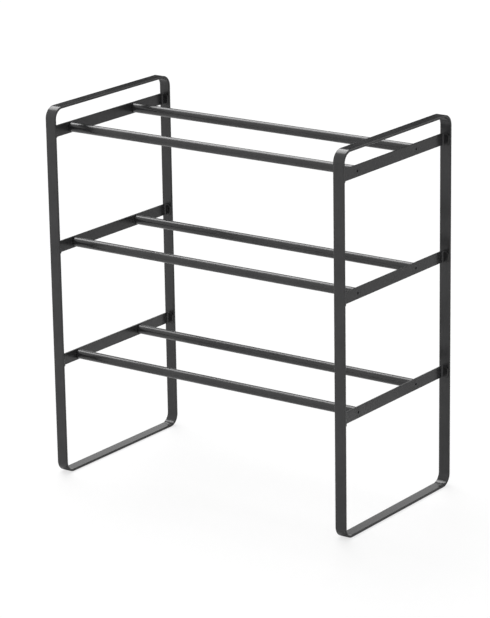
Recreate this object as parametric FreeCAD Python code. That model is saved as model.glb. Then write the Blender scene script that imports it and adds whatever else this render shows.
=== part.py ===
import FreeCAD, Part
import math
import os

# Three-tier extending shoe rack. Units are millimetres, +Z is up and the front is at -Y.
# The origin is on the floor, midway between the two side frames.

# Overall size, closed
CLOSED_WIDTH = 440.0
DEPTH = 235.0
HEIGHT = 475.0

# Flat bar that is bent into each side frame, its wide face across X
BAR_WIDTH = 15.0
BAR_THICKNESS = 3.0
BAR_EDGE_BEVEL = 0.4
CORNER_RADIUS = 15.0

# Crossbars: flat bar on edge, with both ends bent over to lie on the posts
CROSSBAR_HEIGHT = 14.5
CROSSBAR_THICKNESS = 2.5
CROSSBAR_OFFSET = 3.2
CROSSBAR_BEND_RADIUS = 2.0
TAB_END_OFFSET = 14.0
TAB_CORNER_CUT = 2.5

# Tiers, and the front and rear rail of each tier
TIER_HEIGHTS = {"bottom": 147.5, "middle": 295.0, "top": 442.5}
RAIL_POSITIONS = {"front": -74.5, "rear": 52.5}

# Telescoping rails: the wide tube is on the left frame, the narrow tube on the right one
OUTER_TUBE_DIAMETER = 12.0
OUTER_TUBE_BORE = 10.6
INNER_TUBE_DIAMETER = 9.5
INNER_TUBE_BORE = 7.9
RUNNING_CLEARANCE = 0.05
CLOSED_GAP = 0.5

# Flanged nylon bush in the mouth of each wide tube
BUSH_FLANGE = 1.0
BUSH_LENGTH = 12.0

# Ribbed nylon glide on the free end of each narrow tube
GLIDE_LENGTH = 8.0
GLIDE_STEM = 10.0
GLIDE_END_GAP = 1.3

# Ribbed nylon plugs in the screwed ends of the tubes, each with a six-sided core for the screw
PLUG_LENGTH = 14.0

# Ribs of the glides and plugs
RIB_COUNT = 4
RIB_DEPTH = 0.5
RIB_HALF_ANGLE = 12.0
VALLEY_HALF_ANGLE = 22.0

# M5 countersunk socket screws; the countersinks go right through the crossbars
SCREW_DIAMETER = 5.0
SCREW_LENGTH = 15.5
SCREW_HEAD_SINK = 0.1
SOCKET_ACROSS_FLATS = 3.0
SOCKET_DEPTH = 1.8

# Flat sides that stand in for the round of the screws, countersinks and bushes
SMALL_ROUND_SIDES = 24

# Places along X that follow from the sizes above
LEFT_FRAME_X = -CLOSED_WIDTH / 2
RIGHT_FRAME_X = CLOSED_WIDTH / 2 - BAR_WIDTH
LEFT_OUTER_FACE = LEFT_FRAME_X + CROSSBAR_OFFSET
LEFT_SEAT = LEFT_OUTER_FACE + CROSSBAR_THICKNESS
RIGHT_SEAT = RIGHT_FRAME_X + CROSSBAR_OFFSET
RIGHT_OUTER_FACE = RIGHT_SEAT + CROSSBAR_THICKNESS
BUSH_FACE = RIGHT_SEAT - CLOSED_GAP
OUTER_TUBE_MOUTH = BUSH_FACE - BUSH_FLANGE
GLIDE_TIP = LEFT_SEAT + PLUG_LENGTH + GLIDE_END_GAP
INNER_TUBE_START = GLIDE_TIP + GLIDE_LENGTH

ALONG_X = FreeCAD.Vector(1, 0, 0)


def point(x, y, z):
    return FreeCAD.Vector(x, y, z)


def toward(start, end, distance):
    """The point that lies the given distance from start on the way to end."""
    return start + (end - start).normalize() * distance


def rounded_path(corners, radius, closed):
    """Straight runs through square corners, joined by tangent arcs of one radius."""
    count = len(corners)
    edges = []
    turns = range(count) if closed else range(1, count - 1)
    first = None
    last = None if closed else corners[0]
    for index in turns:
        corner = corners[index]
        into = toward(corner, corners[index - 1], radius)
        out = toward(corner, corners[(index + 1) % count], radius)
        centre = into + out - corner
        middle = toward(centre, corner, radius)
        if last is None:
            first = into
        else:
            edges.append(Part.makeLine(last, into))
        edges.append(Part.Arc(into, middle, out).toShape())
        last = out
    edges.append(Part.makeLine(last, first if closed else corners[-1]))
    return Part.Wire(edges)


def closed_outline(points):
    return Part.makePolygon(points + [points[0]])


def swept_bar(path, section):
    return path.makePipeShell([section], True, False)


def bevelled_bar_section(centre):
    """Section across Y of the flat bar, its four edges bevelled."""
    side = BAR_WIDTH / 2
    face = BAR_THICKNESS / 2
    flat_side = side - BAR_EDGE_BEVEL
    flat_face = face - BAR_EDGE_BEVEL
    return closed_outline([
        centre + point(-flat_side, 0, -face),
        centre + point(flat_side, 0, -face),
        centre + point(side, 0, -flat_face),
        centre + point(side, 0, flat_face),
        centre + point(flat_side, 0, face),
        centre + point(-flat_side, 0, face),
        centre + point(-side, 0, flat_face),
        centre + point(-side, 0, -flat_face),
    ])


def side_frame(frame_x):
    """One closed loop of flat bar, bent to an upright rounded rectangle."""
    half = BAR_THICKNESS / 2
    bend_radius = CORNER_RADIUS - half
    middle_x = frame_x + BAR_WIDTH / 2
    front = -DEPTH / 2 + half
    rear = DEPTH / 2 - half
    low = half
    high = HEIGHT - half
    corners = [
        point(middle_x, front, low),
        point(middle_x, rear, low),
        point(middle_x, rear, high),
        point(middle_x, front, high),
    ]
    path = rounded_path(corners, bend_radius, True)
    section = bevelled_bar_section(point(middle_x, front + bend_radius, low))
    return swept_bar(path, section)


def crossbar(frame_x, z, outer_face, inward):
    """Flat bar on edge, both ends bent over towards +X against the posts."""
    half_thickness = CROSSBAR_THICKNESS / 2
    half_height = CROSSBAR_HEIGHT / 2
    web_x = frame_x + CROSSBAR_OFFSET + half_thickness
    tab_x = frame_x + TAB_END_OFFSET
    tab_y = DEPTH / 2 - BAR_THICKNESS - half_thickness
    corners = [
        point(tab_x, -tab_y, z),
        point(web_x, -tab_y, z),
        point(web_x, tab_y, z),
        point(tab_x, tab_y, z),
    ]
    path = rounded_path(corners, CROSSBAR_BEND_RADIUS + half_thickness, False)
    section = closed_outline([
        point(tab_x, -tab_y - half_thickness, z - half_height),
        point(tab_x, -tab_y + half_thickness, z - half_height),
        point(tab_x, -tab_y + half_thickness, z + half_height),
        point(tab_x, -tab_y - half_thickness, z + half_height),
    ])
    bar = trim_tab_corners(swept_bar(path, section), tab_x)
    for y in RAIL_POSITIONS.values():
        bar = bar.cut(screw_cone(outer_face, 0, y, z, inward))
    return bar


def trim_tab_corners(bar, tab_x):
    """Cuts the free corners off both tabs."""
    corners = []
    for edge in bar.Edges:
        at_free_end = edge.BoundBox.XMin > tab_x - CROSSBAR_THICKNESS / 2
        through_thickness = edge.BoundBox.ZLength < CROSSBAR_THICKNESS / 2
        if at_free_end and through_thickness:
            corners.append(edge)
    return bar.makeChamfer(TAB_CORNER_CUT, corners)


def tube(start_x, end_x, diameter, bore, y, z):
    start = point(start_x, y, z)
    length = end_x - start_x
    outside = Part.makeCylinder(diameter / 2, length, start, ALONG_X)
    inside = Part.makeCylinder(bore / 2, length, start, ALONG_X)
    return outside.cut(inside)


def around(x, y, z, radius, degrees):
    """A point on a circle about a rail's axis."""
    angle = math.radians(degrees)
    return point(x, y + radius * math.cos(angle), z + radius * math.sin(angle))


def polygon(x, y, z, corner_radius, sides):
    """Regular outline about a rail's axis."""
    corners = [around(x, y, z, corner_radius, index * 360 / sides) for index in range(sides)]
    return closed_outline(corners)


def prism(x, y, z, corner_radius, sides, length):
    """Regular prism on a rail's axis; a negative length runs towards -X."""
    return Part.Face(polygon(x, y, z, corner_radius, sides)).extrude(ALONG_X * length)


def hexagonal_bar(x, y, z, across_flats, length):
    return prism(x, y, z, across_flats / math.sqrt(3), 6, length)


def screw_cone(outer_face, sink, y, z, inward):
    """Right-angled cone down to the thread's diameter at the crossbar's inner face."""
    depth = CROSSBAR_THICKNESS - sink
    small_radius = SCREW_DIAMETER / 2
    wide_x = outer_face + inward * sink
    narrow_x = outer_face + inward * CROSSBAR_THICKNESS
    wide_end = polygon(wide_x, y, z, small_radius + depth, SMALL_ROUND_SIDES)
    narrow_end = polygon(narrow_x, y, z, small_radius, SMALL_ROUND_SIDES)
    return Part.makeLoft([wide_end, narrow_end], True, True)


def ribbed_prism(start_x, length, rib_radius, y, z):
    """Round moulding with flat-topped ribs along it; a negative length runs towards -X."""
    valley_radius = rib_radius - RIB_DEPTH
    spacing = 360 / RIB_COUNT
    corners = []
    for index in range(RIB_COUNT):
        rib = index * spacing
        valley = rib + spacing / 2
        corners.append(around(start_x, y, z, rib_radius, rib - RIB_HALF_ANGLE))
        corners.append(around(start_x, y, z, rib_radius, rib + RIB_HALF_ANGLE))
        corners.append(around(start_x, y, z, valley_radius, valley - VALLEY_HALF_ANGLE))
        corners.append(around(start_x, y, z, valley_radius, valley + VALLEY_HALF_ANGLE))
    return Part.Face(closed_outline(corners)).extrude(ALONG_X * length)


def guide_bush(y, z):
    """Flange that covers the wide tube's mouth, with a sleeve pressed into the bore."""
    running_radius = INNER_TUBE_DIAMETER / 2 + RUNNING_CLEARANCE
    mouth = OUTER_TUBE_MOUTH
    flange = prism(mouth, y, z, OUTER_TUBE_DIAMETER / 2, SMALL_ROUND_SIDES, BUSH_FLANGE)
    sleeve = prism(mouth, y, z, OUTER_TUBE_BORE / 2, SMALL_ROUND_SIDES, -BUSH_LENGTH)
    length = BUSH_FLANGE + BUSH_LENGTH
    passage = Part.makeCylinder(running_radius, length, point(BUSH_FACE, y, z), -ALONG_X)
    return flange.fuse(sleeve).cut(passage)


def end_glide(y, z):
    """Ribbed head that keeps the narrow tube centred, with a stem pushed into its bore."""
    head = ribbed_prism(GLIDE_TIP, GLIDE_LENGTH, OUTER_TUBE_BORE / 2 - RUNNING_CLEARANCE, y, z)
    stem = prism(INNER_TUBE_START, y, z, INNER_TUBE_BORE / 2, 6, GLIDE_STEM)
    return head.fuse(stem)


def end_plug(seat_x, bore, y, z, inward):
    """Ribbed plug in a tube's screwed end, with a six-sided core for the screw."""
    plug = ribbed_prism(seat_x, PLUG_LENGTH * inward, bore / 2, y, z)
    return plug.cut(hexagonal_bar(seat_x, y, z, SCREW_DIAMETER, PLUG_LENGTH * inward))


def socket_screw(outer_face, y, z, inward):
    """Countersunk screw with a hexagonal socket, its head just below the crossbar's face."""
    head_x = outer_face + inward * SCREW_HEAD_SINK
    head = screw_cone(outer_face, SCREW_HEAD_SINK, y, z, inward)
    shank = prism(head_x, y, z, SCREW_DIAMETER / 2, SMALL_ROUND_SIDES, SCREW_LENGTH * inward)
    socket = hexagonal_bar(head_x, y, z, SOCKET_ACROSS_FLATS, SOCKET_DEPTH * inward)
    return head.fuse(shank).cut(socket).removeSplitter()


def rails():
    """Every rail's name and the place of its axis."""
    for tier, z in TIER_HEIGHTS.items():
        for side, y in RAIL_POSITIONS.items():
            yield tier + "_" + side, y, z


def frame_parts():
    """Side frames and crossbars; the screws enter each crossbar from its outer face."""
    parts = {}
    sides = {
        "left": (LEFT_FRAME_X, LEFT_OUTER_FACE, 1),
        "right": (RIGHT_FRAME_X, RIGHT_OUTER_FACE, -1),
    }
    for side, (frame_x, outer_face, inward) in sides.items():
        parts[side + "_side_frame"] = side_frame(frame_x)
        for tier, z in TIER_HEIGHTS.items():
            parts[side + "_" + tier + "_crossbar"] = crossbar(frame_x, z, outer_face, inward)
    return parts


def rail_parts():
    """Both tubes of every rail, and the glide that runs inside the wide one."""
    parts = {}
    for name, y, z in rails():
        outer = tube(LEFT_SEAT, OUTER_TUBE_MOUTH, OUTER_TUBE_DIAMETER, OUTER_TUBE_BORE, y, z)
        inner = tube(INNER_TUBE_START, RIGHT_SEAT, INNER_TUBE_DIAMETER, INNER_TUBE_BORE, y, z)
        parts[name + "_outer_tube"] = outer
        parts[name + "_inner_tube"] = inner
        parts[name + "_end_glide"] = end_glide(y, z)
    return parts


def grouped_parts():
    """Bushes, plugs and screws, as groups of separate solids."""
    groups = {
        "guide_bushes": [],
        "left_end_plugs": [],
        "right_end_plugs": [],
        "left_rail_screws": [],
        "right_rail_screws": [],
    }
    for name, y, z in rails():
        groups["guide_bushes"].append(guide_bush(y, z))
        groups["left_end_plugs"].append(end_plug(LEFT_SEAT, OUTER_TUBE_BORE, y, z, 1))
        groups["right_end_plugs"].append(end_plug(RIGHT_SEAT, INNER_TUBE_BORE, y, z, -1))
        groups["left_rail_screws"].append(socket_screw(LEFT_OUTER_FACE, y, z, 1))
        groups["right_rail_screws"].append(socket_screw(RIGHT_OUTER_FACE, y, z, -1))
    return {name: Part.makeCompound(solids) for name, solids in groups.items()}


def main():
    os.makedirs("parts", exist_ok=True)
    parts = {**frame_parts(), **rail_parts(), **grouped_parts()}
    for name, shape in parts.items():
        shape.exportStep("parts/" + name + ".step")
        state = "valid" if shape.isValid() else "INVALID"
        print(name, state, len(shape.Solids), "solids", round(shape.Volume, 1), "mm3")


main()
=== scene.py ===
import math

import bmesh
import bpy
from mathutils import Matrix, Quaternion, Vector

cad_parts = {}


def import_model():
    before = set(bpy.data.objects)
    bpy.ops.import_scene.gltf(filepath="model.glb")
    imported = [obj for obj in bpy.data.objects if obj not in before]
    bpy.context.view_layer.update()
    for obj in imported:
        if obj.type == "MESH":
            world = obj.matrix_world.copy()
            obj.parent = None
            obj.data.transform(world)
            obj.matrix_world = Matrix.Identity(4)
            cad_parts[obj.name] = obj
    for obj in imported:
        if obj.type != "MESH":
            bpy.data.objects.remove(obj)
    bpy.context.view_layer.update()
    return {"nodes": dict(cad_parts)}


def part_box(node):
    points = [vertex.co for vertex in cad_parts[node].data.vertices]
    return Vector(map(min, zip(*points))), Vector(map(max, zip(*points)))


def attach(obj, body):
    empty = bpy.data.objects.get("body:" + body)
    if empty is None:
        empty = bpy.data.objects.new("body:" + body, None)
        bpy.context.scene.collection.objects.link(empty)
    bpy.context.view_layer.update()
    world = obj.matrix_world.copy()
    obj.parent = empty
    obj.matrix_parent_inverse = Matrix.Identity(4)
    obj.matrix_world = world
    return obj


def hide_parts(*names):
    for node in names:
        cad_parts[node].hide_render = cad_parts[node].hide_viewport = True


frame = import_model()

# Visible pieces of the shoe rack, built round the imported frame. Everything is in metres in
# the frame's own axes: +Z up, the front at -Y, the rails along X.

MM = 0.001

# Sizes that the pieces share with the frame; the bend radii are those of the bars' middle
BAR_THICKNESS = 3.0 * MM
LOOP_BEND_RADIUS = 13.5 * MM
CROSSBAR_THICKNESS = 2.5 * MM
CROSSBAR_BEND_RADIUS = 3.25 * MM
TAB_CORNER_CUT = 2.5 * MM
OUTER_TUBE_BORE = 10.6 * MM
INNER_TUBE_BORE = 7.9 * MM
BUSH_BORE = 9.6 * MM
BUSH_FLANGE = 1.0 * MM
SCREW_THREAD_DIAMETER = 5.0 * MM
SCREW_HEAD_SINK = 0.1 * MM
SCREW_SOCKET_FLATS = 3.0 * MM
SCREW_SOCKET_DEPTH = 1.8 * MM

# Rounded edges and other detail too fine for the frame. A bar's wear ends at its shoulder, and a
# tab's free end is rounded by thinning its section, whose own edges then get sharper.
BAR_EDGE_RADIUS = 0.9 * MM
BAR_SHOULDER = 0.9 * MM
CROSSBAR_EDGE_RADIUS = 0.441 * MM
TAB_RIM_RADIUS = 0.45 * MM
TAB_RIM_LEAST_RADIUS = 0.05 * MM
TUBE_EDGE_RADIUS = 0.22 * MM
BUSH_RIM_RADIUS = 0.4 * MM
BUSH_MOUTH_RADIUS = 0.3 * MM
BUSH_BACK_BEVEL = 0.1 * MM
BUSH_SLEEVE_RELIEF = 0.02 * MM
COUNTERSINK_LIP = 0.12 * MM
COUNTERSINK_FLOOR = 0.02 * MM
COUNTERSINK_MARGIN = 1.2 * MM
SCREW_THREAD_PITCH = 0.8 * MM
SCREW_THREAD_DEPTH = 0.42 * MM
SCREW_CREST_RELIEF = 0.01 * MM
SCREW_NECK_RELIEF = 0.02 * MM
SCREW_TIP_CLEAR = 0.6 * MM
SCREW_TIP_LENGTH = 0.5 * MM
SCREW_TIP_INSET = 0.9 * MM
SCREW_SOCKET_CHAMFER = 0.12 * MM
SCREW_SOCKET_MOUTH = 0.18 * MM
SCREW_SOCKET_STRAIGHT = 0.92 * SCREW_SOCKET_DEPTH
SCREW_TURN = math.radians(15)

# How much of the usual rubbing the edges show, from 0 to 1
CROSSBAR_WEAR = 0.4
SCREW_MOUTH_WEAR = 0.8
# The socket walls are rubbed paler, and are raised further as painted light that lifts the recess's
# shade
SCREW_SOCKET_WEAR_AND_LIGHT = 0.7

# Depth, distance in from the head's widest radius, and wear along a screw head's rim
SCREW_HEAD_RIM = (
    (0.00 * MM, 0.35 * MM, 0.4),
    (0.06 * MM, 0.10 * MM, 1.0),
    (0.16 * MM, 0.06 * MM, 0.6),
    (0.30 * MM, 0.30 * MM, 0.0),
)

# Steps in each round stretch, and lengths along a tube
ROUND_STEPS = 56
SCREW_STEPS = 48
LOOP_BEND_STEPS = 18
CROSSBAR_BEND_STEPS = 8
TAB_RIM_STEPS = 3
BAR_EDGE_STEPS = 4
FILLET_STEPS = 3
TUBE_LENGTHS = 6

HALVES = ("left", "right")
TIERS = ("bottom", "middle", "top")
RAIL_SIDES = ("front", "rear")

# Colours, as linear red, green and blue
COAT_DARK = (0.023, 0.023, 0.024)
COAT_LIGHT = (0.033, 0.033, 0.034)
COAT_RUBBED = (0.038, 0.038, 0.040)
SLIDING_RUBBED = (0.042, 0.042, 0.044)
# Painted shade that darkens the crossbars' bends and tabs
PAINTED_TAB_SHADE = (0.004, 0.004, 0.004)
NYLON_DARK = (0.014, 0.014, 0.015)
NYLON_LIGHT = (0.021, 0.021, 0.022)
NYLON_RUBBED = (0.05, 0.05, 0.052)
OXIDE_DARK = (0.018, 0.018, 0.019)
OXIDE_LIGHT = (0.028, 0.028, 0.03)
OXIDE_RUBBED = (0.055, 0.055, 0.058)

# Camera, solved from the photo's straight edges
CAMERA_PLACE = (2.0162, -2.8005, 1.2580)
CAMERA_TARGET = (0.0249, -0.0443, 0.2378)
CAMERA_ROLL = math.radians(-0.915)
CAMERA_LENS = 169.24
CAMERA_SENSOR = 36.0

# Studio; the floor's tone and lift add up to the background's white in the camera's view
WORLD_LIGHT = 0.42
WORLD_SEEN = 1.0
FLOOR_RADIUS = 14.0
FLOOR_DROP = 0.2 * MM
FLOOR_TONE_TO_RACK = 0.82
FLOOR_TONE_TO_CAMERA = 0.30
FLOOR_LIFT = 0.70
LAMP_DISTANCE = 3.0


# ---------------------------------------------------------------- mesh helpers

def finish_mesh(name, bm, smooth_angle=40.0):
    """Object from a bmesh, smooth except at edges sharper than the angle."""
    bmesh.ops.remove_doubles(bm, verts=bm.verts, dist=1e-7)
    bmesh.ops.recalc_face_normals(bm, faces=bm.faces)
    mesh = bpy.data.meshes.new(name)
    bm.to_mesh(mesh)
    bm.free()
    mesh.polygons.foreach_set("use_smooth", [True] * len(mesh.polygons))
    mesh.set_sharp_from_angle(angle=math.radians(smooth_angle))
    obj = bpy.data.objects.new(name, mesh)
    bpy.context.scene.collection.objects.link(obj)
    weighted = obj.modifiers.new("weighted_normals", "WEIGHTED_NORMAL")
    weighted.keep_sharp = True
    weighted.weight = 80
    return obj


def new_bmesh():
    """Empty bmesh that carries each point's exposure to rubbing and its painted shade, from 0 to 1."""
    bm = bmesh.new()
    bm.verts.layers.float.new("edge_wear")
    bm.verts.layers.float.new("tab_painted_shade")
    return bm


def add_ring(bm, points, wear, painted_shade=0.0):
    """New vertices at the points, with each one's wear and one amount of painted shade for all."""
    wear_layer = bm.verts.layers.float["edge_wear"]
    shade_layer = bm.verts.layers.float["tab_painted_shade"]
    ring = []
    for point, amount in zip(points, wear):
        vert = bm.verts.new(point)
        vert[wear_layer] = amount
        vert[shade_layer] = painted_shade
        ring.append(vert)
    return ring


def bridge(bm, first, second):
    """Faces between two closed rings of as many points."""
    count = len(first)
    for i in range(count):
        j = (i + 1) % count
        bm.faces.new((first[i], first[j], second[j], second[i]))


def bar_section(width, thickness, radius):
    """Points (across, out) of a flat bar's section with round edges, and the wear of each.

    The two wide faces have a point BAR_SHOULDER in from each round edge, where the wear ends.
    """
    half_w = width / 2
    half_t = thickness / 2
    points = []
    wear = []
    for turn in range(4):
        side_w = 1 if turn in (0, 3) else -1
        side_t = 1 if turn in (0, 1) else -1
        centre = (side_w * (half_w - radius), side_t * (half_t - radius))
        shoulder = (side_w * (half_w - radius - BAR_SHOULDER), side_t * half_t)
        if turn in (1, 3):
            points.append(shoulder)
            wear.append(0.0)
        for step in range(BAR_EDGE_STEPS + 1):
            angle = math.radians(90 * turn + 90 * step / BAR_EDGE_STEPS)
            across = centre[0] + radius * math.cos(angle)
            out = centre[1] + radius * math.sin(angle)
            points.append((across, out))
            wear.append(0.35 + 0.65 * math.sin(math.pi * step / BAR_EDGE_STEPS))
        if turn in (0, 2):
            points.append(shoulder)
            wear.append(0.0)
    return points, wear


def place(section, origin, across, out):
    """The section's points in space, given its origin and the directions of its two axes."""
    return [origin + across * u + out * v for u, v in section]


def circle_points(centre, radius, steps, turn=0.0):
    """Points round a circle across X, going from +Y towards +Z, with the first one at turn."""
    points = []
    for i in range(steps):
        angle = 2 * math.pi * i / steps + turn
        points.append(centre + Vector((0, radius * math.cos(angle), radius * math.sin(angle))))
    return points


def axis_of(node):
    """Y and Z of the axis of a tube's node, which lies along X."""
    low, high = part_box(node)
    return (low.y + high.y) / 2, (low.z + high.z) / 2


# ---------------------------------------------------------------- side frames

def loop_stations(centre_x, low, high):
    """Centre line of an upright loop in the YZ plane: places and outward directions."""
    bend = LOOP_BEND_RADIUS
    corners = (
        (high.y - bend, high.z - bend, 0),
        (low.y + bend, high.z - bend, 90),
        (low.y + bend, low.z + bend, 180),
        (high.y - bend, low.z + bend, 270),
    )
    for y, z, start in corners:
        for step in range(LOOP_BEND_STEPS + 1):
            angle = math.radians(start + 90 * step / LOOP_BEND_STEPS)
            out = Vector((0, math.cos(angle), math.sin(angle)))
            yield Vector((centre_x, y, z)) + out * bend, out


def side_frame(side):
    """One flat bar bent to an upright closed loop."""
    node = side + "_side_frame"
    low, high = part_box(node)
    half = Vector((0, BAR_THICKNESS / 2, BAR_THICKNESS / 2))
    middle_x = (low.x + high.x) / 2
    section, wear = bar_section(high.x - low.x, BAR_THICKNESS, BAR_EDGE_RADIUS)
    bm = new_bmesh()
    rings = []
    for station, out in loop_stations(middle_x, low + half, high - half):
        rings.append(add_ring(bm, place(section, station, Vector((1, 0, 0)), out), wear))
    for i, ring in enumerate(rings):
        bridge(bm, ring, rings[(i + 1) % len(rings)])
    return finish_mesh(side + "_loop", bm), node


# ---------------------------------------------------------------- crossbars

def crossbar_stations(low, high):
    """Centre line of a crossbar seen from above: (place, outward direction, height, inset).

    It runs from the front tab's free end round the bend to the web, and on to the rear tab. The
    height falls off along the tabs' cut corners, and the inset thins their rounded free ends.
    """
    bend = CROSSBAR_BEND_RADIUS
    cut = TAB_CORNER_CUT
    rim = TAB_RIM_RADIUS
    forward = Vector((0, -1, 0))
    full = high.z - low.z
    z = (low.z + high.z) / 2
    middle = (low.y + high.y) / 2
    front_y = middle - ((high.y - low.y) / 2 - CROSSBAR_THICKNESS / 2)
    front = []
    for step in range(TAB_RIM_STEPS + 1):
        angle = math.radians(90 * step / TAB_RIM_STEPS)
        inset = rim * (1 - math.sin(angle))
        along = rim * (1 - math.cos(angle))
        height = full - 2 * cut + 2 * along - 2 * inset
        front.append((Vector((high.x - along, front_y, z)), forward, height, inset))
    front.append((Vector((high.x - cut, front_y, z)), forward, full, 0.0))
    bend_centre = Vector((low.x + CROSSBAR_THICKNESS / 2 + bend, front_y + bend, z))
    for step in range(CROSSBAR_BEND_STEPS + 1):
        angle = math.radians(90 * step / CROSSBAR_BEND_STEPS)
        out = Vector((-math.sin(angle), -math.cos(angle), 0))
        front.append((bend_centre + out * bend, out, full, 0.0))
    rear = []
    for station, out, height, inset in reversed(front):
        mirrored = Vector((station.x, 2 * middle - station.y, z))
        rear.append((mirrored, Vector((out.x, -out.y, 0)), height, inset))
    return front + rear


def web_face(bm, centre, normal, radius):
    """The flat face of the web that lies in the plane of centre and holds a circle round it."""
    for face in bm.faces:
        face.normal_update()
        off_plane = abs((face.calc_center_median() - centre).dot(normal))
        if abs(face.normal.dot(normal)) < 0.99 or off_plane > 0.01 * MM:
            continue
        around_y = [v.co.y - centre.y for v in face.verts]
        around_z = [v.co.z - centre.z for v in face.verts]
        if min(around_y) < -radius and max(around_y) > radius:
            if min(around_z) < -radius and max(around_z) > radius:
                return face
    return None


def split_long_edge(face, y, above):
    """New vertex at y on the face's upper or lower long edge, shared with the face beyond it."""
    middle_z = face.calc_center_median().z
    for edge in face.edges:
        first, second = edge.verts
        if (first.co.z > middle_z) != above or (second.co.z > middle_z) != above:
            continue
        if min(first.co.y, second.co.y) < y < max(first.co.y, second.co.y):
            share = (y - first.co.y) / (second.co.y - first.co.y)
            return bmesh.utils.edge_split(edge, first, share)[1]
    return None


def punch_countersink(bm, centre, normal, radius, depth):
    """Opens a conical hole in the flat web face that holds centre; the other side stays whole."""
    face = web_face(bm, centre, normal, radius)
    margin = radius + COUNTERSINK_MARGIN
    low_near = split_long_edge(face, centre.y - margin, False)
    low_far = split_long_edge(face, centre.y + margin, False)
    high_near = split_long_edge(face, centre.y - margin, True)
    high_far = split_long_edge(face, centre.y + margin, True)
    beyond = 1.1 * margin
    near_end = sorted((v for v in face.verts if v.co.y < centre.y - beyond), key=lambda v: v.co.z)
    far_end = sorted((v for v in face.verts if v.co.y > centre.y + beyond), key=lambda v: v.co.z)
    near = bm.verts.new(centre - Vector((0, margin, 0)))
    far = bm.verts.new(centre + Vector((0, margin, 0)))
    bmesh.ops.delete(bm, geom=[face], context="FACES_ONLY")
    # The web's two ends, then the hole's rings, then the web above and below the hole
    bm.faces.new(near_end + [high_near, near, low_near])
    bm.faces.new([low_far, far, high_far] + far_end[::-1])
    lip = COUNTERSINK_LIP
    rings = []
    for ring_radius, sink, wear in (
        (radius, 0.0, 0.2),
        (radius - 0.25 * lip, 0.25 * lip, 0.6),
        (radius - lip, lip, 0.2),
        (radius - depth, depth, 0.0),
    ):
        points = circle_points(centre - normal * sink, ring_radius, ROUND_STEPS)
        rings.append(add_ring(bm, points, [wear] * ROUND_STEPS))
    for first, second in zip(rings, rings[1:]):
        bridge(bm, first, second)
    bm.faces.new(rings[-1])
    half = ROUND_STEPS // 2
    upper = [rings[0][i] for i in range(half + 1)]
    lower = [rings[0][(half + i) % ROUND_STEPS] for i in range(half + 1)]
    bm.faces.new(upper + [near, high_near, high_far, far])
    bm.faces.new(lower + [far, low_far, low_near, near])


def crossbar(side, tier):
    """Flat bar on edge with both ends bent over as tabs, and its two countersunk holes."""
    node = side + "_" + tier + "_crossbar"
    low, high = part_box(node)
    upward = Vector((0, 0, 1))
    bm = new_bmesh()
    rings = []
    for station, out, height, inset in crossbar_stations(low, high):
        radius = CROSSBAR_EDGE_RADIUS
        if inset > 0:
            radius = max(TAB_RIM_LEAST_RADIUS, TAB_RIM_RADIUS - inset)
        section, wear = bar_section(height, CROSSBAR_THICKNESS - 2 * inset, radius)
        wear = [CROSSBAR_WEAR * amount for amount in wear]
        # Painted shade: none on the web, rising round the bend to full on the tab
        past_web = (station.x - low.x - CROSSBAR_THICKNESS) / CROSSBAR_BEND_RADIUS
        painted_shade = min(1.0, max(0.0, past_web))
        rings.append(add_ring(bm, place(section, station, upward, out), wear, painted_shade))
    for first, second in zip(rings, rings[1:]):
        bridge(bm, first, second)
    bm.faces.new(rings[0])
    bm.faces.new(rings[-1])
    outer_x = low.x if side == "left" else low.x + CROSSBAR_THICKNESS
    normal = Vector((-1 if side == "left" else 1, 0, 0))
    z = (low.z + high.z) / 2
    radius = SCREW_THREAD_DIAMETER / 2 + CROSSBAR_THICKNESS
    depth = CROSSBAR_THICKNESS - COUNTERSINK_FLOOR
    for rail_side in RAIL_SIDES:
        y, _ = axis_of(tier + "_" + rail_side + "_outer_tube")
        punch_countersink(bm, Vector((outer_x, y, z)), normal, radius, depth)
    return finish_mesh(side + "_" + tier + "_bar", bm), node


# ---------------------------------------------------------------- turned pieces

def turned(name, y, z, profile):
    """Solid of revolution about a rail's axis from a closed profile of (x, radius, wear) points."""
    bm = new_bmesh()
    rings = []
    for x, radius, wear in profile:
        points = circle_points(Vector((x, y, z)), radius, ROUND_STEPS)
        rings.append(add_ring(bm, points, [wear] * ROUND_STEPS))
    for i, ring in enumerate(rings):
        bridge(bm, ring, rings[(i + 1) % len(rings)])
    return finish_mesh(name, bm)


def rounded_corner(x, radius, fillet, quarter):
    """Profile points of a round edge at (x, radius).

    quarter 0 is the outside at low x, 1 the outside at high x, 2 the bore at high x and 3 the
    bore at low x, which is the order in which a tube's profile meets them.
    """
    along, outward = ((1, -1), (-1, -1), (-1, 1), (1, 1))[quarter]
    start = (180, 90, 0, 270)[quarter]
    centre_x = x + along * fillet
    centre_r = radius + outward * fillet
    points = []
    for step in range(FILLET_STEPS + 1):
        angle = math.radians(start - 90 * step / FILLET_STEPS)
        wear = 0.3 + 0.7 * math.sin(math.pi * step / FILLET_STEPS)
        points.append((centre_x + fillet * math.cos(angle), centre_r + fillet * math.sin(angle), wear))
    return points


def tube_profile(x0, x1, outer, bore):
    """Closed profile of a tube with broken edges, from its two diameters."""
    fillet = TUBE_EDGE_RADIUS
    shares = [i / TUBE_LENGTHS for i in range(1, TUBE_LENGTHS)]
    outside = [(x0 + (x1 - x0) * share, outer / 2, 0.0) for share in shares]
    inside = [(x1 + (x0 - x1) * share, bore / 2, 0.0) for share in shares]
    profile = rounded_corner(x0, outer / 2, fillet, 0)
    profile += outside
    profile += rounded_corner(x1, outer / 2, fillet, 1)
    profile += rounded_corner(x1, bore / 2, fillet, 2)
    profile += inside
    profile += rounded_corner(x0, bore / 2, fillet, 3)
    return profile


def rail(name, kind, bore):
    """One tube of a rail; kind is outer or inner."""
    node = name + "_" + kind + "_tube"
    low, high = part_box(node)
    y, z = axis_of(node)
    profile = tube_profile(low.x, high.x, high.y - low.y, bore)
    return turned(name + "_" + kind + "_rail", y, z, profile), node


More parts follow.
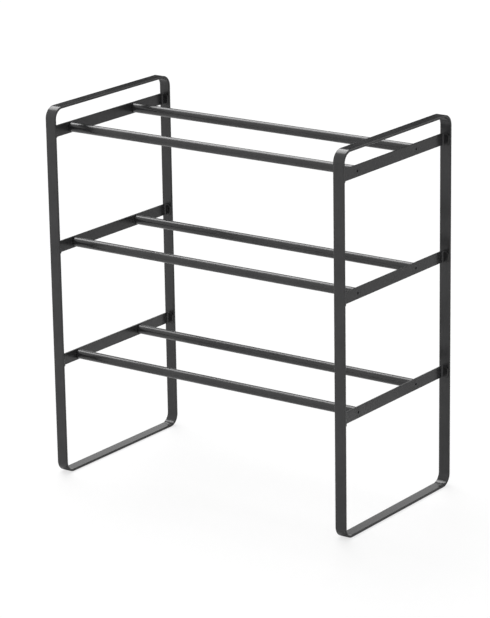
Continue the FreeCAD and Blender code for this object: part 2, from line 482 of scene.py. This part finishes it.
def guide_bush(name):
    """Flanged nylon bush: a rounded flange over the tube's mouth and a sleeve in its bore."""
    group_low, group_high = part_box("guide_bushes")
    low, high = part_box(name + "_outer_tube")
    y, z = axis_of(name + "_outer_tube")
    face = group_high.x
    shoulder = face - BUSH_FLANGE
    bevel = BUSH_BACK_BEVEL
    flange = (high.y - low.y) / 2
    sleeve = OUTER_TUBE_BORE / 2
    bore = BUSH_BORE / 2
    profile = [
        (shoulder, sleeve, 0.0),
        (shoulder, flange - bevel, 0.2),
        (shoulder + bevel, flange, 0.4),
        *rounded_corner(face, flange, BUSH_RIM_RADIUS, 1),
        *rounded_corner(face, bore, BUSH_MOUTH_RADIUS, 2),
        (group_low.x, bore, 0.0),
        (group_low.x, sleeve - BUSH_SLEEVE_RELIEF, 0.0),
    ]
    return turned(name + "_bush", y, z, profile)


def screw_profile(length):
    """Outline of a countersunk screw as (depth below its head's flat face, radius, wear) points."""
    thread = SCREW_THREAD_DIAMETER / 2
    root = thread - SCREW_THREAD_DEPTH
    crest = thread - SCREW_CREST_RELIEF
    cone = CROSSBAR_THICKNESS - SCREW_HEAD_SINK
    head = thread + cone
    pitch = SCREW_THREAD_PITCH
    profile = [(depth, head - inset, wear) for depth, inset, wear in SCREW_HEAD_RIM]
    profile.append((cone, thread - SCREW_NECK_RELIEF, 0.0))
    # Each turn of the thread goes from the root up to a narrow crest
    depth = cone + 0.5 * pitch
    while depth + pitch < length - SCREW_TIP_CLEAR:
        profile.append((depth, root, 0.0))
        profile.append((depth + 0.45 * pitch, crest, 0.0))
        profile.append((depth + 0.55 * pitch, crest, 0.0))
        depth += pitch
    profile.append((length - SCREW_TIP_LENGTH, root, 0.0))
    profile.append((length, thread - SCREW_TIP_INSET, 0.0))
    return profile


def hexagonal_socket(bm, face, inward, mouth):
    """Socket below its round mouth's ring; face is the centre of the head's flat face."""
    corner_radius = SCREW_SOCKET_FLATS / math.sqrt(3)
    hexagons = []
    # Paler socket walls: part wear, part painted light against the recess's shade
    for depth in (SCREW_SOCKET_MOUTH, SCREW_SOCKET_STRAIGHT):
        points = circle_points(face + inward * depth, corner_radius, 6, SCREW_TURN)
        hexagons.append(add_ring(bm, points, [SCREW_SOCKET_WEAR_AND_LIGHT] * 6))
    upper, lower = hexagons
    per_side = SCREW_STEPS // 6
    half = per_side // 2
    for i in range(6):
        corner = upper[i]
        following = upper[(i + 1) % 6]
        arc = [mouth[(i * per_side + k) % SCREW_STEPS] for k in range(per_side + 1)]
        for k in range(half):
            bm.faces.new((arc[k], arc[k + 1], corner))
        bm.faces.new((arc[half], following, corner))
        for k in range(half, per_side):
            bm.faces.new((arc[k], arc[k + 1], following))
    bridge(bm, upper, lower)
    tip = bm.verts.new(face + inward * SCREW_SOCKET_DEPTH)
    for i in range(6):
        bm.faces.new((lower[i], lower[(i + 1) % 6], tip))


def screw(name, side):
    """Countersunk socket screw: rimmed head, chamfered hexagonal socket and a threaded shank."""
    low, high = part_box(side + "_rail_screws")
    y, z = axis_of(name + "_outer_tube")
    face = Vector((low.x if side == "left" else high.x, y, z))
    inward = Vector((1 if side == "left" else -1, 0, 0))
    bm = new_bmesh()
    rings = []
    for depth, radius, wear in screw_profile(high.x - low.x):
        points = circle_points(face + inward * depth, radius, SCREW_STEPS, SCREW_TURN)
        rings.append(add_ring(bm, points, [wear] * SCREW_STEPS))
    for first, second in zip(rings, rings[1:]):
        bridge(bm, first, second)
    bm.faces.new(rings[-1])
    mouth_radius = SCREW_SOCKET_FLATS / math.sqrt(3) + SCREW_SOCKET_CHAMFER
    mouth_points = circle_points(face, mouth_radius, SCREW_STEPS, SCREW_TURN)
    mouth = add_ring(bm, mouth_points, [SCREW_MOUTH_WEAR] * SCREW_STEPS)
    bridge(bm, rings[0], mouth)
    hexagonal_socket(bm, face, inward, mouth)
    return finish_mesh(name + "_" + side + "_screw", bm, smooth_angle=30.0)


# ---------------------------------------------------------------- materials

class Nodes:
    """Lays out one material's node tree; every method but link returns the new node's output."""

    def __init__(self, name):
        self.material = bpy.data.materials.new(name)
        self.material.use_nodes = True
        self.tree = self.material.node_tree
        self.shader = self.tree.nodes["Principled BSDF"]
        coordinates = self.tree.nodes.new("ShaderNodeTexCoord")
        self.place = coordinates.outputs["Object"]

    def link(self, source, target):
        self.tree.links.new(source, target)

    def noise(self, scale, detail=3.0, roughness=0.55, stretch=None):
        node = self.tree.nodes.new("ShaderNodeTexNoise")
        node.inputs["Scale"].default_value = scale
        node.inputs["Detail"].default_value = detail
        node.inputs["Roughness"].default_value = roughness
        source = self.place
        if stretch is not None:
            mapping = self.tree.nodes.new("ShaderNodeMapping")
            mapping.inputs["Scale"].default_value = stretch
            self.link(self.place, mapping.inputs["Vector"])
            source = mapping.outputs["Vector"]
        self.link(source, node.inputs["Vector"])
        return node.outputs["Fac"]

    def remap(self, value, low, high, out_low, out_high):
        node = self.tree.nodes.new("ShaderNodeMapRange")
        node.inputs["From Min"].default_value = low
        node.inputs["From Max"].default_value = high
        node.inputs["To Min"].default_value = out_low
        node.inputs["To Max"].default_value = out_high
        self.link(value, node.inputs["Value"])
        return node.outputs["Result"]

    def maths(self, operation, first, second):
        node = self.tree.nodes.new("ShaderNodeMath")
        node.operation = operation
        for socket, value in zip(node.inputs, (first, second)):
            if isinstance(value, (int, float)):
                socket.default_value = value
            else:
                self.link(value, socket)
        return node.outputs["Value"]

    def mix(self, factor, first, second):
        node = self.tree.nodes.new("ShaderNodeMix")
        node.data_type = "RGBA"
        self.link(factor, node.inputs["Factor"])
        for socket, value in ((node.inputs["A"], first), (node.inputs["B"], second)):
            if isinstance(value, tuple):
                socket.default_value = (*value, 1.0)
            else:
                self.link(value, socket)
        return node.outputs["Result"]

    def attribute(self, name):
        node = self.tree.nodes.new("ShaderNodeAttribute")
        node.attribute_name = name
        return node.outputs["Fac"]

    def bump(self, height, strength, distance, normal=None):
        node = self.tree.nodes.new("ShaderNodeBump")
        node.inputs["Strength"].default_value = strength
        node.inputs["Distance"].default_value = distance
        self.link(height, node.inputs["Height"])
        if normal is not None:
            self.link(normal, node.inputs["Normal"])
        return node.outputs["Normal"]


def coated_steel(name, rubbed, streaks):
    """Satin powder coat: slow tone changes, fine peel, edges rubbed a little smoother, and painted
    shade on the crossbars' bends and tabs.
    """
    n = Nodes(name)
    clouds = n.noise(26.0, 4.0)
    grain = n.noise(2600.0, 2.0)
    tone = n.maths("ADD", n.maths("MULTIPLY", clouds, 0.8), n.maths("MULTIPLY", grain, 0.2))
    colour = n.mix(n.remap(tone, 0.36, 0.64, 0.0, 1.0), COAT_DARK, COAT_LIGHT)
    patches = n.remap(n.noise(160.0, 4.0, 0.65), 0.42, 0.66, 0.25, 1.0)
    wear = n.maths("MULTIPLY", n.attribute("edge_wear"), patches)
    colour = n.mix(n.maths("MULTIPLY", wear, 0.4), colour, rubbed)
    # Painted shade darkens the crossbars' bends and tabs
    colour = n.mix(n.maths("MULTIPLY", n.attribute("tab_painted_shade"), 0.55), colour, PAINTED_TAB_SHADE)
    n.link(colour, n.shader.inputs["Base Color"])
    roughness = n.remap(clouds, 0.3, 0.7, 0.20, 0.26)
    roughness = n.maths("SUBTRACT", roughness, n.maths("MULTIPLY", wear, 0.03))
    peel = n.noise(1100.0, 2.0, 0.5)
    normal = n.bump(peel, 0.06, 0.0001)
    if streaks:
        scratches = n.noise(520.0, 3.0, 0.6, stretch=(0.02, 1.0, 1.0))
        roughness = n.maths("ADD", roughness, n.remap(scratches, 0.35, 0.65, -0.05, 0.03))
        normal = n.bump(scratches, 0.05, 0.00005, normal)
    n.link(roughness, n.shader.inputs["Roughness"])
    n.link(normal, n.shader.inputs["Normal"])
    n.shader.inputs["Specular IOR Level"].default_value = 0.47
    return n.material


def nylon():
    """Moulded black nylon: matt, with a spark-eroded grain and paler rubbed edges."""
    n = Nodes("moulded_nylon")
    clouds = n.noise(90.0, 3.0)
    colour = n.mix(n.remap(clouds, 0.35, 0.65, 0.0, 1.0), NYLON_DARK, NYLON_LIGHT)
    wear = n.maths("MULTIPLY", n.attribute("edge_wear"), 0.35)
    colour = n.mix(wear, colour, NYLON_RUBBED)
    n.link(colour, n.shader.inputs["Base Color"])
    n.link(n.remap(clouds, 0.3, 0.7, 0.5, 0.62), n.shader.inputs["Roughness"])
    n.link(n.bump(n.noise(1900.0, 2.0), 0.15, 0.0001), n.shader.inputs["Normal"])
    return n.material


def screw_steel():
    """Black oxide on steel: dark metal with brighter rubbed rims."""
    n = Nodes("black_oxide")
    clouds = n.noise(420.0, 4.0, 0.6)
    colour = n.mix(n.remap(clouds, 0.35, 0.65, 0.0, 1.0), OXIDE_DARK, OXIDE_LIGHT)
    wear = n.maths("MULTIPLY", n.attribute("edge_wear"), n.remap(clouds, 0.4, 0.6, 0.2, 0.6))
    colour = n.mix(wear, colour, OXIDE_RUBBED)
    n.link(colour, n.shader.inputs["Base Color"])
    n.link(n.remap(clouds, 0.3, 0.7, 0.34, 0.46), n.shader.inputs["Roughness"])
    n.link(n.bump(n.noise(2400.0, 2.0), 0.08, 0.00006), n.shader.inputs["Normal"])
    return n.material


def give(piece, material):
    """Makes the material the piece's only one."""
    piece.data.materials.clear()
    piece.data.materials.append(material)


# ---------------------------------------------------------------- building the rack

def dress_rack():
    """Builds every visible piece, hides the frame's nodes it replaces, parents it to its body and
    gives it its material.
    """
    coat = coated_steel("satin_powder_coat", COAT_RUBBED, streaks=False)
    sliding = coated_steel("sliding_tube_coat", SLIDING_RUBBED, streaks=True)
    plastic = nylon()
    oxide = screw_steel()

    def add(piece, nodes, body, material):
        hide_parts(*nodes)
        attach(piece, body)
        give(piece, material)

    for side in HALVES:
        body = side + "_half"
        piece, node = side_frame(side)
        add(piece, [node], body, coat)
        for tier in TIERS:
            piece, node = crossbar(side, tier)
            add(piece, [node], body, coat)

    for tier in TIERS:
        for rail_side in RAIL_SIDES:
            name = tier + "_" + rail_side
            piece, node = rail(name, "outer", OUTER_TUBE_BORE)
            add(piece, [node], "left_half", coat)
            piece, node = rail(name, "inner", INNER_TUBE_BORE)
            add(piece, [node], "right_half", sliding)
            add(guide_bush(name), ["guide_bushes"], "left_half", plastic)
            for side in HALVES:
                add(screw(name, side), [side + "_rail_screws"], side + "_half", oxide)

    # What is still shown of the frame's own nodes is the nylon inside the rails
    for node in frame["nodes"].values():
        if not node.hide_render:
            for material_slot in node.material_slots:
                material_slot.material = plastic


# ---------------------------------------------------------------- studio

def camera():
    """Long lens from the right and above, as in the photo."""
    data = bpy.data.cameras.new("camera")
    data.sensor_width = CAMERA_SENSOR
    data.lens = CAMERA_LENS
    data.clip_start = 0.1
    data.clip_end = 200.0
    obj = bpy.data.objects.new("camera", data)
    bpy.context.scene.collection.objects.link(obj)
    obj.location = CAMERA_PLACE
    aim = (Vector(CAMERA_TARGET) - obj.location).to_track_quat("-Z", "Y")
    obj.rotation_mode = "QUATERNION"
    obj.rotation_quaternion = aim @ Quaternion((0, 0, 1), CAMERA_ROLL)
    bpy.context.scene.camera = obj


def larger(tree, first, second):
    """Output of a node that gives the larger of two outputs' values."""
    node = tree.nodes.new("ShaderNodeMath")
    node.operation = "MAXIMUM"
    tree.links.new(first, node.inputs[0])
    tree.links.new(second, node.inputs[1])
    return node.outputs["Value"]


def world():
    """White all round to the camera and in reflections, and dimmer as a source of light."""
    scene_world = bpy.data.worlds.new("studio")
    bpy.context.scene.world = scene_world
    scene_world.use_nodes = True
    tree = scene_world.node_tree
    background = tree.nodes["Background"]
    background.inputs["Color"].default_value = (1, 1, 1, 1)
    path = tree.nodes.new("ShaderNodeLightPath")
    seen = larger(tree, path.outputs["Is Camera Ray"], path.outputs["Is Glossy Ray"])
    seen = larger(tree, seen, path.outputs["Is Transmission Ray"])
    strength = tree.nodes.new("ShaderNodeMapRange")
    strength.inputs["To Min"].default_value = WORLD_LIGHT
    strength.inputs["To Max"].default_value = WORLD_SEEN
    tree.links.new(seen, strength.inputs["Value"])
    tree.links.new(strength.outputs["Result"], background.inputs["Strength"])


def floor():
    """Round floor, lifted to the background's white where the camera sees it."""
    bm = bmesh.new()
    bmesh.ops.create_circle(bm, cap_ends=True, segments=96, radius=FLOOR_RADIUS)
    mesh = bpy.data.meshes.new("floor")
    bm.to_mesh(mesh)
    bm.free()
    obj = bpy.data.objects.new("floor", mesh)
    bpy.context.scene.collection.objects.link(obj)
    obj.location.z = -FLOOR_DROP
    material = bpy.data.materials.new("pale_floor")
    material.use_nodes = True
    tree = material.node_tree
    shader = tree.nodes["Principled BSDF"]
    shader.inputs["Roughness"].default_value = 0.9
    shader.inputs["Specular IOR Level"].default_value = 0.1
    shader.inputs["Emission Color"].default_value = (1, 1, 1, 1)
    camera_ray = tree.nodes.new("ShaderNodeLightPath").outputs["Is Camera Ray"]
    tone = tree.nodes.new("ShaderNodeMapRange")
    tone.inputs["To Min"].default_value = FLOOR_TONE_TO_RACK
    tone.inputs["To Max"].default_value = FLOOR_TONE_TO_CAMERA
    tree.links.new(camera_ray, tone.inputs["Value"])
    tree.links.new(tone.outputs["Result"], shader.inputs["Base Color"])
    lift = tree.nodes.new("ShaderNodeMath")
    lift.operation = "MULTIPLY"
    lift.inputs[1].default_value = FLOOR_LIFT
    tree.links.new(camera_ray, lift.inputs[0])
    tree.links.new(lift.outputs[0], shader.inputs["Emission Strength"])
    mesh.materials.append(material)


def distant_light(name, direction, angle, strength):
    """Wide soft lamp far away, so that the floor is lit evenly all over."""
    data = bpy.data.lights.new(name, "SUN")
    data.angle = math.radians(angle)
    data.energy = strength
    obj = bpy.data.objects.new(name, data)
    bpy.context.scene.collection.objects.link(obj)
    obj.location = Vector(direction) * LAMP_DISTANCE
    obj.rotation_mode = "QUATERNION"
    obj.rotation_quaternion = Vector(direction).to_track_quat("Z", "Y")
    return obj


def reflected_card(name, centre, facing, width, low, high, tone):
    """Upright card, darker than the white round it, that only reflections meet.

    facing is the way from the rack to the card, in degrees from +X; tone is its brightness.
    """
    bm = bmesh.new()
    angle = math.radians(facing + 90)
    along = Vector((math.cos(angle), math.sin(angle), 0)) * width / 2
    middle = Vector((centre[0], centre[1], 0))
    corners = []
    for side, z in ((-1, low), (1, low), (1, high), (-1, high)):
        corners.append(bm.verts.new(middle + along * side + Vector((0, 0, z))))
    bm.faces.new(corners)
    mesh = bpy.data.meshes.new(name)
    bm.to_mesh(mesh)
    bm.free()
    obj = bpy.data.objects.new(name, mesh)
    bpy.context.scene.collection.objects.link(obj)
    obj.visible_camera = False
    obj.visible_diffuse = False
    obj.visible_shadow = False
    obj.visible_transmission = False
    # The card is not lit: it glows at its tone, a painted reflection that only the rack's gloss shows
    material = bpy.data.materials.new(name + "_glow")
    material.use_nodes = True
    shader = material.node_tree.nodes["Principled BSDF"]
    shader.inputs["Base Color"].default_value = (0, 0, 0, 1)
    shader.inputs["Specular IOR Level"].default_value = 0.0
    shader.inputs["Emission Color"].default_value = (1, 1, 1, 1)
    shader.inputs["Emission Strength"].default_value = tone
    mesh.materials.append(material)


def studio():
    """White surround, floor, two cards for the reflections and two soft lamps."""
    world()
    floor()
    reflected_card("dark_flag", (-0.50, 0.72), facing=125.0, width=2.0, low=0.49, high=1.05, tone=0.02)
    reflected_card("shaded_card", (0.36, 0.36), facing=50.0, width=1.4, low=0.0, high=0.55, tone=0.58)
    distant_light("key_lamp", (-0.56, 0.32, 0.76), angle=45.0, strength=2.3)
    fill = distant_light("fill_lamp", (-0.62, -0.55, 0.56), angle=60.0, strength=0.5)
    fill.visible_glossy = False


dress_rack()
camera()
studio()
bpy.context.scene.view_settings.view_transform = "Standard"
